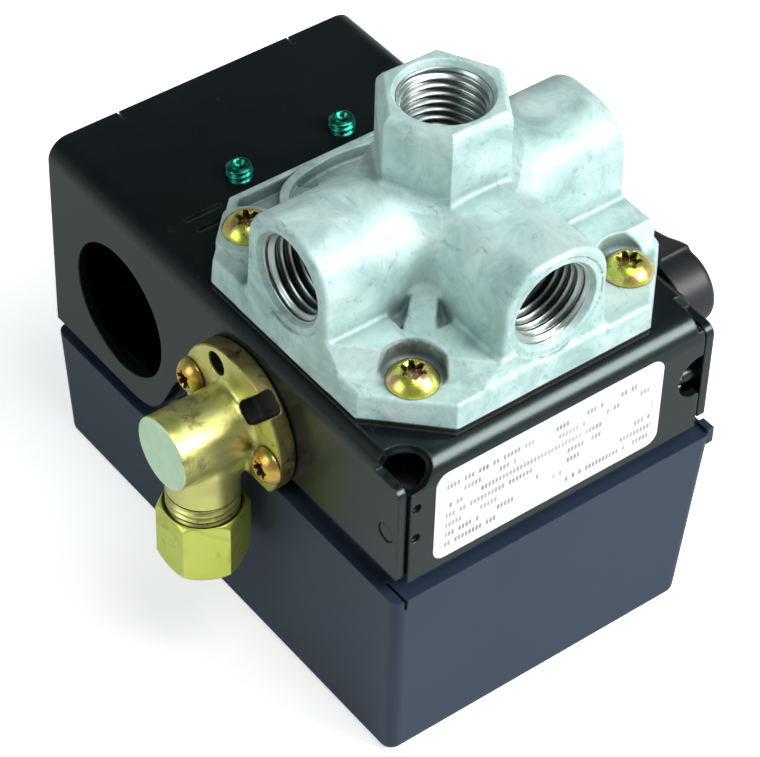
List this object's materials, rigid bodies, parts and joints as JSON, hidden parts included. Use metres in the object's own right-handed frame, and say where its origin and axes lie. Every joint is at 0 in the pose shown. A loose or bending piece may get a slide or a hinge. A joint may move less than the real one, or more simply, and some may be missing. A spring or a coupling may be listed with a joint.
{
  "type": "pressure switch",
  "caption": "Air compressor pressure switch with a four-port cast manifold, side bleed valve, auto/off lever and lift-off cover.",
  "frame": {"origin": "on the tank port's axis, in the plane of the cover's flat outer face", "axes": "+Z along the tank port out of its mouth, -X towards the cable hole and the bleed valve, -Y towards the rating label"},
  "size_m": [0.0782, 0.0877, 0.0924],
  "materials": {
    "frame_black": "satin black powder-coated sheet steel",
    "cover_plastic": "moulded satin black thermoplastic",
    "cast_metal": "as-cast zinc alloy, tumbled, machined at the ports",
    "chromate_screw": "yellow-iridescent chromate plated steel",
    "green_stud": "green dyed zinc plated steel",
    "valve_plated": "yellow-green chromate plated steel",
    "zinc_steel": "bright zinc plated steel",
    "brass": "turned brass",
    "rubber": "fabric reinforced rubber",
    "gasket_fibre": "pressed gasket sheet",
    "black_plastic": "hard black plastic",
    "phenolic": "dark moulded phenolic",
    "spring_steel": "drawn spring wire",
    "copper_alloy": "copper alloy contact metal",
    "label_white": null
  },
  "bodies": {
    "housing": {"base_frame": "frame_black", "cover_post": "zinc_steel", "manifold": "cast_metal", "manifold_screws": "chromate_screw", "diaphragm": "rubber", "diaphragm_gasket": "gasket_fibre", "pivot_pin": "zinc_steel", "range_stud": "zinc_steel", "range_spring_seat": "zinc_steel", "range_spring": "spring_steel", "differential_stud": "zinc_steel", "differential_spring_seat": "zinc_steel", "differential_spring": "spring_steel", "contact_block": "phenolic", "terminals": "copper_alloy", "terminal_screws": "zinc_steel", "block_screws": "zinc_steel", "contact_spring": "spring_steel", "unloader_body": "valve_plated", "unloader_screws": "chromate_screw", "stem_guide": "brass", "lever_clip": "spring_steel", "ground_screws": "green_stud", "rating_label": "label_white", "ferrule": "brass"},
    "cover": {"cover": "cover_plastic"},
    "cover_screw": {"cover_screw": "zinc_steel"},
    "operating_lever": {"operating_lever": "zinc_steel"},
    "piston": {"piston": "zinc_steel"},
    "contact_carrier": {"contact_carrier": "phenolic", "moving_contacts": "copper_alloy"},
    "bleed_stem": {"unloader_stem": "brass", "unloader_spring": "spring_steel"},
    "auto_off_lever": {"auto_off_lever": "black_plastic"},
    "range_nut": {"range_nut": "zinc_steel"},
    "differential_nut": {"differential_nut": "zinc_steel"},
    "compression_nut": {"compression_nut": "brass"}
  },
  "joints": [
    {"name": "operating_lever_tilt", "type": "hinge", "parent": "housing", "child": "operating_lever", "pos_m": [0, -0.0258, 0.0456], "axis": [1, 0, 0], "range_deg": [-2.5, 0], "deforming": ["range_spring", "differential_spring"]},
    {"name": "piston_travel", "type": "slide", "parent": "housing", "child": "piston", "axis": [0, 0, 1], "range_m": [-0.00115, 0]},
    {"name": "contact_travel", "type": "slide", "parent": "housing", "child": "contact_carrier", "axis": [0, 0, 1], "range_m": [-0.0013, 0], "deforming": ["contact_spring"]},
    {"name": "bleed_stem_travel", "type": "slide", "parent": "housing", "child": "bleed_stem", "axis": [1, 0, 0], "range_m": [-0.00123, 0]},
    {"name": "auto_off_turn", "type": "hinge", "parent": "housing", "child": "auto_off_lever", "pos_m": [0.031, -0.0158, 0.0512], "axis": [1, 0, 0], "range_deg": [-45, 0]},
    {"name": "range_nut_turn", "type": "hinge", "parent": "housing", "child": "range_nut", "pos_m": [0, 0.02, 0.018], "axis": [0, 0, 1], "continuous": true},
    {"name": "differential_nut_turn", "type": "hinge", "parent": "housing", "child": "differential_nut", "pos_m": [0.0126, 0.02, 0.021], "axis": [0, 0, 1], "continuous": true},
    {"name": "compression_nut_turn", "type": "hinge", "parent": "housing", "child": "compression_nut", "pos_m": [-0.0363, 0.0063, 0.0247], "axis": [0, 0, 1], "continuous": true},
    {"name": "cover_lift_off", "type": "slide", "parent": "housing", "child": "cover", "axis": [0, 0, -1], "range_m": [0, 0.045]},
    {"name": "cover_screw_turn", "type": "hinge", "parent": "cover", "child": "cover_screw", "pos_m": [0, 0.036, 0.003], "axis": [0, 0, -1], "continuous": true}
  ],
  "couplings": [
    {"joint": "piston_travel", "follows": "operating_lever_tilt", "m_per_rad": 0.0258},
    {"joint": "contact_travel", "follows": "operating_lever_tilt", "m_per_rad": 0.0288},
    {"joint": "bleed_stem_travel", "follows": "operating_lever_tilt", "m_per_rad": 0.0275}
  ]
}
